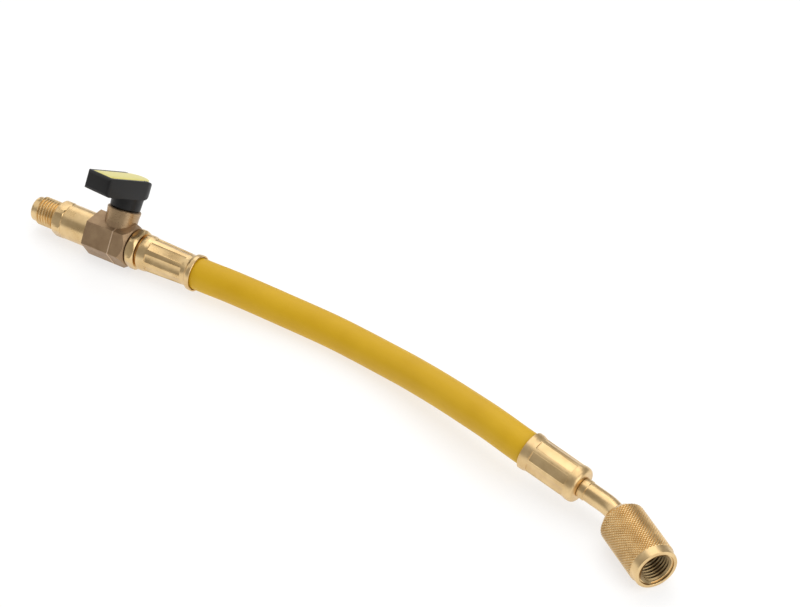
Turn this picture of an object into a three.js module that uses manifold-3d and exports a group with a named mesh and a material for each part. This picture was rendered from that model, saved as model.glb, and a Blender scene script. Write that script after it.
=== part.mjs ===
// Short charging hose for refrigerant work: a brass ball valve with a black quarter-turn
// handle and a male flare end, a rubber hose crimped in two brass ferrules, and a bent
// tube that carries a loose knurled nut. Millimetres, +Z up. The origin is on the floor
// under the middle of the valve, and +X points out of the nut's mouth.
import * as THREE from 'three';
import { mergeVertices } from 'three/addons/utils/BufferGeometryUtils.js';
import Module from 'manifold-3d';

const wasm = await Module();
wasm.setup();

// Clearances
const gap = 0.3; // between two pieces that touch, seat or turn on each other
const overrun = 1; // how far a cutting shape runs past the face that it cuts

// How the part lies: the body on one of its six flats, the nut on its knurl
const valveHeading = THREE.MathUtils.degToRad(35.7); // from the nut's axis to the valve's
const stemTilt = THREE.MathUtils.degToRad(30); // the stem stands on a corner of the hexagon
const handleOpening = THREE.MathUtils.degToRad(11.2); // how far the valve is turned open
const farEndDip = THREE.MathUtils.degToRad(7); // how steeply the far ferrule points down

// Ball, seats and stem
const ballRadius = 4.4;
const portRadius = 2.4;
const chamberGap = 0.6; // between the ball and its chamber's wall
const seatLip = 0.2; // by how much the seat's hole is wider than the port
const seatFace = 3.0; // from the ball's centre to the seat's inner face
const seatBacking = 0.2; // how far the seat reaches past the ball
const stemRadius = 2.5;
const tongueWidth = 2.0;
const tongueLength = 4.4;
const slotFloor = 3.2; // from the ball's centre to the bottom of its slot
const stemSquare = 3.6; // across the flats of the stem's square top
const stemTopWall = 1.6; // handle plastic left above the stem's end

// Valve body
const bodyAcrossFlats = 15.3;
const maleSpigotLength = 5.0;
const portWall = 1.0; // between the chamber and the hose tail's socket
const tailSocketDepth = 2.5;
const bodyEndChamfer = 2.0;
const bodyMaleChamfer = 0.7;
const bossRootRadius = 6.75;
const bossTopRadius = 6.5;
const bossHeight = 12.6; // from the valve's axis to the boss's top

// Handle
const handleWidth = 12.6;
const handleRoundEnd = 7.9; // from the stem's axis to the round end
const handleReach = 17.7; // from the stem's axis to the far end
const handleCorner = 1.8;
const handleThickness = 7.2;
const handleEdge = 0.4;
const socketRadius = 5.85;
const socketTopRadius = 6.15;
const socketHeight = 5.0; // from the socket's foot to the bar's underside
const insertRim = 1.3; // handle plastic left around the insert
const insertDepth = 1.2;
const insertCrown = 0.35; // how far the insert stands above the bar

// Male end
const maleThreadRadius = 5.5;
const maleThreadRoot = 4.85;
const threadPitch = 1.27;
const maleThreadTurns = 6;
const noseLength = 2.2;
const noseRadius = 4.75;
const noseFaceRadius = 4.3;
const noseBoreRadius = 3.2;
const noseConeDepth = 0.7;
const wrenchAcrossFlats = 13.0;
const wrenchCornerRadius = 7.05;
const wrenchLength = 5.5;
const maleShankRadius = 6.85;
const maleShankLength = 11.2;

// Hose tail between the body and the valve's ferrule
const tailSpigotRadius = 4.2;
const tailCollarAcrossFlats = 14.2;
const tailCollarCornerRadius = 7.75;
const tailCollarLength = 3.9;
const tailNeckRadius = 5.4;
const tailNeckLength = 0.8;
const tailRadius = 3.1;
const tailBoreRadius = 1.8;
const tailDepth = 13; // how far a tail reaches into its ferrule

// Ferrules
const ferruleWaistRadius = 6.0; // at the mouth's end of the valve's ferrule
const ferruleRootRadius = 6.6;
const ferruleCollarRadius = 6.95;
const ferruleCollarLength = 2.4;
const ferruleMouthRadius = 7.05;
const ferruleMouthLength = 2.0;
const valveFerruleLength = 24.4;
const elbowFerruleLength = 22.7;
const elbowFerruleRadius = 6.45;
const elbowFerruleCollar = 6.65;
const mouthDepth = 1.6;
const crimpCount = 8;
const crimpDepth = 0.45;
const crimpWidth = 3.4;

// Hose
const hoseDiameter = 12.2;
const hoseSides = 12;
const hoseSteps = 40;

// Bent tube
const tubeRadius = 3.45;
const tubeBore = 1.9;
const tubeRootRadius = 3.7;
const tubeRootLength = 3.0;
const elbowBend = THREE.MathUtils.degToRad(27.15);
const elbowBendRadius = 13;
const elbowRootLength = 9.3; // from the ferrule's end to the start of the bend
const elbowNutLength = 2.0; // from the end of the bend to the nut's back
const flangeRadius = 4.9;
const flangeLength = 1.6;
const tubeSides = 24;
const tubeSteps = 24;

// Nut and its seal
const nutLength = 26.5;
const knurlRadius = 8.2;
const nutRimRadius = 7.4;
const nutBackRim = 2.0;
const nutFrontRim = 2.6;
const nutShoulder = 0.8; // length of the slope between a rim and the knurl
const nutBackWall = 4.5;
const nutRelief = 5.2; // smooth length behind the thread, for the flange and the seal
const nutThreadRadius = 5.6;
const nutThreadRoot = 5.0;
const nutThreadTurns = 11;
const nutMouthRadius = 6.15;
const sealLength = 2.2;
const sealHole = 1.9;

const turnedSides = 32;

// The hose's middle line, from the valve's ferrule to the far one, where it lies
const hoseRoute = [
  [29.64, 21.3, 7.65],
  [34.5, 24.8, 7.65],
  [40.9, 29.9, 7.4],
  [47.5, 34.9, 7.1],
  [54.1, 39.8, 6.75],
  [60.8, 44.6, 6.45],
  [67.5, 49.3, 6.25],
  [74.3, 53.8, 6.2],
  [81.3, 58.1, 6.2],
  [88.4, 62.0, 6.3],
  [95.6, 65.6, 6.6],
  [103.0, 68.9, 7.2],
  [110.5, 71.9, 8.1],
  [118.1, 74.5, 9.15],
  [125.8, 77.0, 10.2],
  [133.6, 79.4, 11.2],
  [141.4, 81.8, 12.05],
  [149.1, 84.3, 12.7],
  [155.8, 86.4, 13.1],
  [161.0, 88.1, 13.2],
  [165.0, 89.75, 12.93],
  [169.73, 92.06, 12.32],
];

// Sizes that follow from the ones above
const seatEnd = ballRadius + seatBacking;
const chamberRadius = ballRadius + chamberGap;
const chamberEnd = seatEnd + gap;
const bodyMaleSide = chamberEnd + maleSpigotLength;
const bodyHoseSide = chamberEnd + portWall + tailSocketDepth;
const axisHeight = bodyAcrossFlats / 2;
const valveFerruleStart = bodyHoseSide + gap + tailCollarLength + tailNeckLength;
const handleBottom = bossHeight + gap + socketHeight;
const handleTop = handleBottom + handleThickness;
const stemTop = handleTop - insertDepth - stemTopWall;
const hoseRadius = hoseDiameter / 2;

// Materials
const brass = { color: 0xcfae72, roughness: 0.28, metalness: 1 };
const forgedBrass = { color: 0x86694a, roughness: 0.5, metalness: 0.9 };
const blackPlastic = { color: 0x2a2929, roughness: 0.5, metalness: 0 };
const yellowPlastic = { color: 0xe0d27a, roughness: 0.4, metalness: 0 };
const yellowRubber = { color: 0xdcb42d, roughness: 0.45, metalness: 0 };
const whitePlastic = { color: 0xece9e0, roughness: 0.4, metalness: 0 };
const polishedSteel = { color: 0xb9bbbe, roughness: 0.2, metalness: 1 };

// A geometry as a manifold solid
function toSolid(geometry) {
  const bare = geometry.clone();
  bare.deleteAttribute('normal');
  bare.deleteAttribute('uv');
  const welded = mergeVertices(bare, 1e-4);
  const corners = welded.index.array;
  const triangles = [];
  for (let i = 0; i < corners.length; i += 3) {
    const [a, b, c] = corners.slice(i, i + 3);
    if (a !== b && b !== c && c !== a) triangles.push(a, b, c);
  }
  return new wasm.Manifold(new wasm.Mesh({
    numProp: 3,
    vertProperties: new Float32Array(welded.attributes.position.array),
    triVerts: new Uint32Array(triangles),
  }));
}

function fromSolid(solid) {
  const mesh = solid.getMesh();
  const geometry = new THREE.BufferGeometry();
  geometry.setAttribute('position', new THREE.BufferAttribute(mesh.vertProperties, 3));
  geometry.setIndex(new THREE.BufferAttribute(mesh.triVerts, 1));
  geometry.computeVertexNormals();
  return geometry;
}

const joined = (first, ...others) =>
  fromSolid(others.reduce((sum, other) => sum.add(toSolid(other)), toSolid(first)));

const cut = (first, ...tools) =>
  fromSolid(tools.reduce((rest, tool) => rest.subtract(toSolid(tool)), toSolid(first)));

const common = (first, second) => fromSolid(toSolid(first).intersect(toSolid(second)));

// A turned shape about X, from [x, radius] pairs
function turned(profile, sides = turnedSides) {
  const points = profile.map(([x, radius]) => new THREE.Vector2(radius, x));
  return new THREE.LatheGeometry(points, sides).rotateZ(-Math.PI / 2);
}

// A turned shape about Z, from [z, radius] pairs
const turnedUpright = (profile, sides) => turned(profile, sides).rotateY(-Math.PI / 2);

const rod = (start, end, radius, sides) =>
  turned([[start, 0], [start, radius], [end, radius], [end, 0]], sides);

// A hexagonal bar along X with one flat underneath
function hexBar(start, end, acrossFlats) {
  const cornerRadius = acrossFlats / Math.sqrt(3);
  return new THREE.CylinderGeometry(cornerRadius, cornerRadius, end - start, 6)
    .rotateZ(-Math.PI / 2)
    .rotateX(Math.PI / 6)
    .translate((start + end) / 2, 0, 0);
}

// Ring-shaped thread grooves, as [x, radius] pairs from start on
function threadRows(start, turns, crest, root) {
  const rows = [];
  for (let turn = 0; turn < turns; turn += 1) {
    const x = start + turn * threadPitch;
    rows.push([x + threadPitch * 0.5, crest], [x + threadPitch, root]);
  }
  return rows;
}

// A round bar along a line in space
function swept(line, radius, steps, sides) {
  const section = new THREE.Shape();
  section.absarc(0, 0, radius, 0, 2 * Math.PI);
  return new THREE.ExtrudeGeometry(section, {
    steps,
    curveSegments: sides / 2,
    extrudePath: line,
  });
}

function piece(name, geometry, look) {
  const mesh = new THREE.Mesh(geometry, new THREE.MeshStandardMaterial(look));
  mesh.name = name;
  return mesh;
}

// Crimp flats pressed into a ferrule between two places along it
function crimped(ferrule, start, end, startRadius, endRadius) {
  const slope = Math.atan2(endRadius - startRadius, end - start);
  const length = Math.hypot(end - start, endRadius - startRadius);
  const middleRadius = (startRadius + endRadius) / 2 - crimpDepth;
  const flats = [];
  for (let i = 0; i < crimpCount; i += 1) {
    flats.push(new THREE.BoxGeometry(length, crimpWidth, 2)
      .rotateY(-slope)
      .translate((start + end) / 2, 0, middleRadius + 1)
      .rotateX((i + 0.5) * 2 * Math.PI / crimpCount));
  }
  return cut(ferrule, ...flats);
}

function maleAdaptor() {
  const shoulder = -bodyMaleSide - gap;
  const wrenchEnd = shoulder - maleShankLength;
  const wrenchStart = wrenchEnd - wrenchLength;
  const threadStart = wrenchStart - maleThreadTurns * threadPitch - 0.3;
  const tip = threadStart - noseLength;
  const spigotRadius = chamberRadius - gap;
  const outside = turned([
    [tip, 0],
    [tip, noseFaceRadius],
    [tip + 0.45, noseRadius],
    [threadStart - 0.3, noseRadius],
    [threadStart, maleThreadRoot],
    ...threadRows(threadStart, maleThreadTurns, maleThreadRadius, maleThreadRoot),
    [wrenchStart + overrun, maleThreadRoot],
    [wrenchStart + overrun, 0],
  ]);
  const wrench = common(
    hexBar(wrenchStart, wrenchEnd + overrun, wrenchAcrossFlats),
    turned([
      [wrenchStart - overrun, 0],
      [wrenchStart - overrun, wrenchAcrossFlats / 2 - 0.4],
      [wrenchStart + 0.6, wrenchCornerRadius],
      [wrenchEnd, wrenchCornerRadius],
      [wrenchEnd, 0],
    ]),
  );
  const shank = turned([
    [wrenchEnd - overrun, 0],
    [wrenchEnd - overrun, wrenchAcrossFlats / 2 - 0.4],
    [wrenchEnd, maleShankRadius],
    [shoulder, maleShankRadius],
    [shoulder, spigotRadius],
    [-chamberEnd, spigotRadius],
    [-chamberEnd, 0],
  ]);
  const bore = turned([
    [tip - overrun, 0],
    [tip - overrun, noseBoreRadius + overrun],
    [tip, noseBoreRadius],
    [tip + noseConeDepth, portRadius],
    [-chamberEnd + overrun, portRadius],
    [-chamberEnd + overrun, 0],
  ]);
  return cut(joined(outside, wrench, shank), bore);
}

function valveBody() {
  const bar = common(
    hexBar(-bodyMaleSide, bodyHoseSide, bodyAcrossFlats),
    turned([
      [-bodyMaleSide, 0],
      [-bodyMaleSide, bodyAcrossFlats / 2 + 0.4],
      [-bodyMaleSide + bodyMaleChamfer, bodyAcrossFlats],
      [bodyHoseSide - bodyEndChamfer, bodyAcrossFlats / Math.sqrt(3)],
      [bodyHoseSide, bodyAcrossFlats / 2 - 0.3],
      [bodyHoseSide, 0],
    ]),
  );
  const boss = turnedUpright([
    [0, 0],
    [0, bossRootRadius],
    [axisHeight, bossRootRadius],
    [bossHeight - 0.4, bossTopRadius],
    [bossHeight, bossTopRadius - 0.4],
    [bossHeight, 0],
  ]).rotateX(-stemTilt);
  const chamber = rod(-bodyMaleSide - overrun, chamberEnd, chamberRadius);
  const port = rod(0, bodyHoseSide + overrun, portRadius);
  const socket = rod(chamberEnd + portWall, bodyHoseSide + overrun, tailSpigotRadius + gap);
  const stemHole = turnedUpright([
    [0, 0],
    [0, stemRadius + gap],
    [bossHeight + overrun, stemRadius + gap],
    [bossHeight + overrun, 0],
  ]).rotateX(-stemTilt);
  return cut(joined(bar, boss), chamber, port, socket, stemHole);
}

// A ring that backs the ball on the hose's side; the other side's ring is turned round
function valveSeat() {
  const holeRadius = portRadius + seatLip;
  const outerRadius = chamberRadius - gap;
  const contactRadius = ballRadius + gap;
  const faceHole = Math.sqrt(contactRadius ** 2 - seatFace ** 2);
  const holeStart = Math.sqrt(contactRadius ** 2 - holeRadius ** 2);
  return turned([
    [holeStart, holeRadius],
    [seatFace, faceHole],
    [seatFace, outerRadius],
    [seatEnd, outerRadius],
    [seatEnd, holeRadius],
    [holeStart, holeRadius],
  ]);
}

function valveBall() {
  const ball = new THREE.SphereGeometry(ballRadius, 24, 14);
  const bore = rod(-ballRadius - overrun, ballRadius + overrun, portRadius, 24);
  const slotHeight = ballRadius + overrun - slotFloor;
  const slot = new THREE.BoxGeometry(tongueWidth + 2 * gap, 2 * ballRadius + overrun, slotHeight)
    .translate(0, 0, slotFloor + slotHeight / 2);
  return cut(ball, bore, slot);
}

function valveStem() {
  const foot = ballRadius + gap;
  const squareStart = bossHeight + gap;
  const shank = turnedUpright([
    [foot, 0],
    [foot, stemRadius],
    [squareStart, stemRadius],
    [squareStart, 0],
  ], 32);
  const tongueHeight = foot + overrun - slotFloor - gap;
  const tongue = new THREE.BoxGeometry(tongueWidth, tongueLength, tongueHeight)
    .translate(0, 0, slotFloor + gap + tongueHeight / 2);
  const squareHeight = stemTop - squareStart + overrun;
  const square = new THREE.BoxGeometry(stemSquare, stemSquare, squareHeight)
    .translate(0, 0, stemTop - squareHeight / 2);
  return joined(shank, tongue, square);
}

// The handle's outline in plan, drawn smaller all round by inset
function barOutline(inset) {
  const halfWidth = handleWidth / 2 - inset;
  const farEnd = handleReach - inset;
  const roundCentre = handleWidth / 2 - handleRoundEnd;
  const corner = Math.max(handleCorner - inset, handleCorner / 3);
  const outline = new THREE.Shape();
  outline.moveTo(roundCentre, -halfWidth);
  outline.lineTo(farEnd - corner, -halfWidth);
  outline.absarc(farEnd - corner, -halfWidth + corner, corner, -Math.PI / 2, 0);
  outline.absarc(farEnd - corner, halfWidth - corner, corner, 0, Math.PI / 2);
  outline.absarc(roundCentre, 0, halfWidth, Math.PI / 2, 3 * Math.PI / 2);
  return outline;
}

// A slab with the handle's outline and a small bevel on its edges
function slab(inset, bottom, top, bevel) {
  return new THREE.ExtrudeGeometry(barOutline(inset), {
    depth: top - bottom - 2 * bevel,
    curveSegments: 8,
    bevelThickness: bevel,
    bevelSize: bevel,
    bevelOffset: -bevel,
    bevelSegments: 1,
    bevelEnabled: bevel > 0,
  }).translate(0, 0, bottom + bevel);
}

function handle() {
  const bar = slab(0, handleBottom, handleTop, handleEdge);
  const socket = turnedUpright([
    [bossHeight + gap, 0],
    [bossHeight + gap, socketRadius],
    [handleBottom, socketTopRadius],
    [handleBottom + overrun, socketTopRadius],
    [handleBottom + overrun, 0],
  ], 32);
  const recess = slab(insertRim, handleTop - insertDepth, handleTop + overrun, 0);
  const holeSize = stemSquare + 2 * gap;
  const holeHeight = stemTop + gap - bossHeight;
  const stemHole = new THREE.BoxGeometry(holeSize, holeSize, holeHeight)
    .translate(0, 0, bossHeight + holeHeight / 2);
  return cut(joined(bar, socket), recess, stemHole);
}

const handleInsert = () =>
  slab(insertRim + gap, handleTop - insertDepth + gap, handleTop + insertCrown, insertCrown);

function hoseTail() {
  const collarStart = bodyHoseSide + gap;
  const collarEnd = collarStart + tailCollarLength;
  const collar = common(
    hexBar(collarStart, collarEnd, tailCollarAcrossFlats),
    turned([
      [collarStart, 0],
      [collarStart, tailCollarAcrossFlats / 2 - 0.2],
      [collarStart + 0.9, tailCollarCornerRadius],
      [collarEnd - 0.9, tailCollarCornerRadius],
      [collarEnd, tailCollarAcrossFlats / 2 - 0.2],
      [collarEnd, 0],
    ]),
  );
  const neckEnd = valveFerruleStart - gap;
  const tailEnd = valveFerruleStart + tailDepth;
  const shaft = turned([
    [chamberEnd + portWall + gap, 0],
    [chamberEnd + portWall + gap, tailSpigotRadius],
    [collarStart + overrun, tailSpigotRadius],
    [collarStart + overrun, tailNeckRadius],
    [neckEnd, tailNeckRadius],
    [neckEnd, tailRadius],
    [tailEnd, tailRadius],
    [tailEnd, 0],
  ]);
  const bore = rod(chamberEnd, tailEnd + overrun, tailBoreRadius, 24);
  return cut(joined(collar, shaft), bore);
}

// From its root at x = 0 to its mouth
function valveFerrule() {
  const mouth = valveFerruleLength;
  const bellStart = mouth - ferruleMouthLength;
  const waistStart = ferruleCollarLength + 1;
  const waistEnd = bellStart - 1.2;
  const sleeve = turned([
    [0, tailRadius + gap],
    [0, ferruleCollarRadius - 0.4],
    [0.4, ferruleCollarRadius],
    [ferruleCollarLength, ferruleCollarRadius],
    [waistStart, ferruleRootRadius],
    [waistEnd, ferruleWaistRadius],
    [bellStart, ferruleMouthRadius - 0.1],
    [mouth, ferruleMouthRadius],
    [mouth, hoseRadius + gap],
    [mouth - mouthDepth, hoseRadius + gap],
    [mouth - mouthDepth, tailRadius - gap],
    [tailDepth + gap, tailRadius - gap],
    [tailDepth + gap, tailRadius + gap],
    [0, tailRadius + gap],
  ]);
  return crimped(sleeve, waistStart + 0.6, waistEnd - 1.4, ferruleRootRadius, ferruleWaistRadius);
}

// From its mouth at x = 0 to its end
function elbowFerrule() {
  const end = elbowFerruleLength;
  const waistStart = ferruleMouthLength + 1.2;
  const collarStart = end - ferruleCollarLength - 1;
  const sleeve = turned([
    [0, hoseRadius + gap],
    [0, ferruleMouthRadius - 0.1],
    [ferruleMouthLength, ferruleMouthRadius - 0.15],
    [waistStart, elbowFerruleRadius],
    [collarStart, elbowFerruleRadius],
    [collarStart + 1, elbowFerruleCollar],
    [end - 1.1, elbowFerruleCollar],
    [end - 0.4, elbowFerruleCollar - 0.35],
    [end, elbowFerruleCollar - 1],
    [end, tailRadius + gap],
    [end - tailDepth - gap, tailRadius + gap],
    [end - tailDepth - gap, tailRadius - gap],
    [mouthDepth, tailRadius - gap],
    [mouthDepth, hoseRadius + gap],
    [0, hoseRadius + gap],
  ]);
  return crimped(sleeve, waistStart + 0.8, collarStart - 0.4, elbowFerruleRadius, elbowFerruleRadius);
}

function hose() {
  const points = hoseRoute.map((point) => new THREE.Vector3(...point));
  return swept(new THREE.CatmullRomCurve3(points), hoseRadius, hoseSteps, hoseSides);
}

// Where the bent tube's bend ends, seen from the far ferrule's mouth
const bendStart = elbowFerruleLength + elbowRootLength;
const bendEnd = new THREE.Vector3(
  bendStart + elbowBendRadius * Math.sin(elbowBend),
  -elbowBendRadius * (1 - Math.cos(elbowBend)),
  0,
);
const nutDirection = new THREE.Vector3(Math.cos(elbowBend), -Math.sin(elbowBend), 0);
const nutBack = bendEnd.clone().addScaledVector(nutDirection, elbowNutLength);

// A round bar along the bent tube's middle line
function bentBar(start, lengthInNut, radius, sides) {
  const line = new THREE.CurvePath();
  const from = new THREE.Vector3(start, 0, 0);
  const corner = new THREE.Vector3(bendStart, 0, 0);
  const nutEnd = nutBack.clone().addScaledVector(nutDirection, lengthInNut);
  const bendPoints = [];
  for (let i = 0; i <= 6; i += 1) {
    const angle = elbowBend * i / 6;
    bendPoints.push(new THREE.Vector3(
      bendStart + elbowBendRadius * Math.sin(angle),
      -elbowBendRadius * (1 - Math.cos(angle)),
      0,
    ));
  }
  line.add(new THREE.LineCurve3(from, corner));
  line.add(new THREE.CatmullRomCurve3(bendPoints));
  line.add(new THREE.LineCurve3(bendEnd, nutEnd));
  return swept(line, radius, tubeSteps, sides);
}

function elbowTube() {
  const end = elbowFerruleLength;
  const flangeStart = nutBackWall + gap;
  const flangeEnd = flangeStart + flangeLength;
  const outside = bentBar(end + gap, flangeEnd, tubeRadius, tubeSides);
  const tail = rod(end - tailDepth, end + tubeRootLength, tailRadius, tubeSides);
  const root = turned([
    [end + gap, 0],
    [end + gap, tubeRootRadius],
    [end + tubeRootLength - 0.3, tubeRootRadius],
    [end + tubeRootLength, tubeRadius],
    [end + tubeRootLength, 0],
  ], tubeSides);
  const flange = rod(flangeStart, flangeEnd, flangeRadius, 32)
    .rotateZ(-elbowBend)
    .translate(nutBack.x, nutBack.y, nutBack.z);
  const bore = bentBar(end - tailDepth - overrun, flangeEnd + overrun, tubeBore, 16);
  return cut(joined(outside, tail, root, flange), bore);
}

// From its back at x = 0 to its mouth
function knurledNut() {
  const holeRadius = tubeRadius + gap;
  const threadStart = nutBackWall + nutRelief;
  const threadEnd = threadStart + nutThreadTurns * threadPitch;
  const knurlEnd = nutLength - nutFrontRim - nutShoulder;
  const inside = threadRows(threadStart, nutThreadTurns, nutThreadRoot, nutThreadRadius);
  return turned([
    [0, holeRadius],
    [0, nutRimRadius - 0.4],
    [0.4, nutRimRadius],
    [nutBackRim, nutRimRadius],
    [nutBackRim + nutShoulder, knurlRadius],
    [knurlEnd, knurlRadius],
    [knurlEnd + nutShoulder, nutRimRadius],
    [nutLength - 0.4, nutRimRadius],
    [nutLength, nutRimRadius - 0.4],
    [nutLength, nutMouthRadius],
    [threadEnd + 0.4, nutThreadRadius],
    ...inside.reverse(),
    [threadStart, nutThreadRadius],
    [nutBackWall, nutThreadRadius],
    [nutBackWall, holeRadius],
    [0, holeRadius],
  ]);
}

function sealRing() {
  const start = nutBackWall + flangeLength + 2 * gap;
  return turned([
    [start, sealHole],
    [start, flangeRadius],
    [start + sealLength, flangeRadius],
    [start + sealLength, sealHole],
    [start, sealHole],
  ], 32);
}

// Valve: its own X runs from the male end to the hose
const valve = new THREE.Group();
valve.position.z = axisHeight;
valve.rotation.z = valveHeading;
valve.add(piece('male_adaptor', maleAdaptor(), brass));
valve.add(piece('valve_body', valveBody(), forgedBrass));
valve.add(piece('seat_hose_side', valveSeat(), whitePlastic));
const maleSeat = piece('seat_male_side', valveSeat(), whitePlastic);
maleSeat.rotation.z = Math.PI;
valve.add(maleSeat);
valve.add(piece('hose_tail', hoseTail(), brass));
const ferruleOnValve = piece('valve_ferrule', valveFerrule(), brass);
ferruleOnValve.position.x = valveFerruleStart;
valve.add(ferruleOnValve);

// Stem, ball and handle: their own Z is the stem's axis, and X points along the handle
const stemFrame = new THREE.Group();
stemFrame.rotation.x = -stemTilt;
const turning = new THREE.Group();
turning.rotation.z = -Math.PI / 2 - handleOpening;
turning.add(piece('valve_ball', valveBall(), polishedSteel));
turning.add(piece('valve_stem', valveStem(), brass));
turning.add(piece('handle', handle(), blackPlastic));
turning.add(piece('handle_insert', handleInsert(), yellowPlastic));
stemFrame.add(turning);
valve.add(stemFrame);

// Far end: its own X runs from the ferrule's mouth into the bent tube. It is turned so that
// the nut beyond the bend lies level, points along +X and touches the floor.
const farHeading = Math.acos(Math.cos(elbowBend) / Math.cos(farEndDip));
const farDirection = new THREE.Vector3(
  Math.cos(farEndDip) * Math.cos(farHeading),
  Math.cos(farEndDip) * Math.sin(farHeading),
  -Math.sin(farEndDip),
);
const bendAxis = new THREE.Vector3(1, 0, 0).cross(farDirection).normalize();
const bendSide = new THREE.Vector3().crossVectors(bendAxis, farDirection);
const farEnd = new THREE.Group();
const farTurn = new THREE.Matrix4().makeBasis(farDirection, bendSide, bendAxis);
farEnd.quaternion.setFromRotationMatrix(farTurn);
const hoseEnd = new THREE.Vector3(...hoseRoute[hoseRoute.length - 1]);
farEnd.position.copy(hoseEnd).addScaledVector(farDirection, gap - mouthDepth);
const nutDrop = nutBack.clone().applyMatrix4(farTurn).z;
farEnd.position.z = knurlRadius - nutDrop;
farEnd.add(piece('elbow_ferrule', elbowFerrule(), brass));
farEnd.add(piece('elbow_tube', elbowTube(), brass));
const nutFrame = new THREE.Group();
nutFrame.position.copy(nutBack);
nutFrame.rotation.z = -elbowBend;
nutFrame.add(piece('knurled_nut', knurledNut(), brass));
nutFrame.add(piece('seal_ring', sealRing(), whitePlastic));
farEnd.add(nutFrame);

const chargingHose = new THREE.Group();
chargingHose.add(valve);
chargingHose.add(piece('hose', hose(), yellowRubber));
chargingHose.add(farEnd);

export default chargingHose;
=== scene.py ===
import math

import bmesh
import bpy
from mathutils import Matrix, Vector


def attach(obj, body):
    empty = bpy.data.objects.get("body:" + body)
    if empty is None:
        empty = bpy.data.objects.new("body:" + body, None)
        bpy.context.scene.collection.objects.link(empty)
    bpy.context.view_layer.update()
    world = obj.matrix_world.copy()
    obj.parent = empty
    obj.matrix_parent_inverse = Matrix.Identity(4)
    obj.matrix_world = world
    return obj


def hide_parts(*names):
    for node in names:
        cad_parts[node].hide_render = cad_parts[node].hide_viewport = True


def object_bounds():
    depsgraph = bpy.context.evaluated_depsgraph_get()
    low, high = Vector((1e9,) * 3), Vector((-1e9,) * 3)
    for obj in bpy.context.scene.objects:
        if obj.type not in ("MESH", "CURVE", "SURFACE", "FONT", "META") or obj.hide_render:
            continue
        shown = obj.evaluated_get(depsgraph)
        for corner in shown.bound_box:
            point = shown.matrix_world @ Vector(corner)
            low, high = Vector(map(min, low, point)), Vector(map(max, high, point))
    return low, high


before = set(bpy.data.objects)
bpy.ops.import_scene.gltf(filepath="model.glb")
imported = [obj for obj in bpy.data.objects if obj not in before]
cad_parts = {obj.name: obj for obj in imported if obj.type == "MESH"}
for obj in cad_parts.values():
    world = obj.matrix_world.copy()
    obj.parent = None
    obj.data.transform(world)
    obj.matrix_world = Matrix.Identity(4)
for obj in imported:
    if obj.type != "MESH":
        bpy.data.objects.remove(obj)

cad_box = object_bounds()

MM = 0.001

# Camera: the photo's view, seen over an 800 x 607 frame
PHOTO_WIDTH = 800
SENSOR = 36.0
FOCAL_PIXELS = 2368
CAMERA_AZIMUTH = math.radians(65.2)
CAMERA_ELEVATION = math.radians(38)
CAMERA_ROLL = math.radians(2.5)
CAMERA_AIM = Vector((71.84, 85.72, 6.1)) * MM
CAMERA_DISTANCE = 870.2 * MM

# Studio: a pale glowing floor, and lamps with their names, azimuth and elevation in degrees,
# distance and size in metres, and power in watts
FLOOR_SIZE = 6
FLOOR_GLOW = 0.62
LAMPS = (
    ("top_light", 200, 80, 1.0, 1.0, 3.6),
    ("left_light", -50, 35, 1.0, 0.8, 1.2),
    ("right_light", 112, 30, 1.0, 0.8, 3.0),
    ("back_light", 245, 40, 1.1, 0.8, 2.2),
)
AIR_COLOUR = (0.74, 0.72, 0.70, 1)
AIR_GLOW = 0.45
EXPOSURE = 0.12

# How the part lies
VALVE_HEADING = math.radians(35.7)
STEM_TILT = math.radians(30)
HANDLE_OPENING = math.radians(11.2)
FAR_END_DIP = math.radians(7)
ELBOW_BEND = math.radians(27.15)

# Valve
BODY_FLATS = 15.3
BODY_MALE_SIDE = 9.9
BODY_HOSE_SIDE = 8.4
BODY_END_CHAMFER = 2.0
CHAMBER_RADIUS = 5.0
CHAMBER_END = 4.9
PORT_RADIUS = 2.4
BOSS_RADIUS = 6.2
BOSS_TOP_RADIUS = 6.5
BOSS_HEIGHT = 12.6
STEM_HOLE = 2.8
SEAM_PLACE = 2.2
SEAM_WIDTH = 0.45
SEAM_RISE = 0.12
SEAM_CUT_BACK = 0.1
SEAM_BURIED = 0.6
BODY_ROUNDING = 0.26

# Handle
HANDLE_WIDTH = 12.6
HANDLE_ROUND_END = 7.9
HANDLE_REACH = 18.6
HANDLE_BOTTOM = 17.9
HANDLE_TOP = 25.1
HANDLE_CORNER = 1.4
SOCKET_FOOT = 12.9
SOCKET_RADIUS = 5.85
SOCKET_TOP_RADIUS = 6.15
STEM_TOP = 22.3
INSERT_RIM = 1.3
INSERT_DEPTH = 1.2
INSERT_MARGIN = 0.12
HANDLE_ROUNDING = 0.35
STEM_SQUARE_HOLE = 4.2

# How far each step of the insert's crown draws in and rises
INSERT_CROWN = ((0.3, 0.18), (0.7, 0.14), (1.2, 0.09), (1.4, 0.04))

# Both threads: the foot's width is a share of the pitch, and the crest's a share of the foot's
THREAD_PITCH = 1.27
THREAD_FOOT = 0.96
THREAD_CREST = 0.16
THREAD_STEPS = 64

# Male end
MALE_CREST = 5.5
MALE_ROOT = 4.85
MALE_TURNS = 7
MALE_SHOULDER = -10.2
MALE_SHANK = 11.2
MALE_SHANK_RADIUS = 6.85
WRENCH_LENGTH = 4.5
WRENCH_FLATS = 13.0
WRENCH_CORNER = 7.05
NOSE_LENGTH = 1.95
NOSE_RADIUS = 4.75
NOSE_BORE = 3.2
HEX_ROUNDING = 0.12

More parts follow.
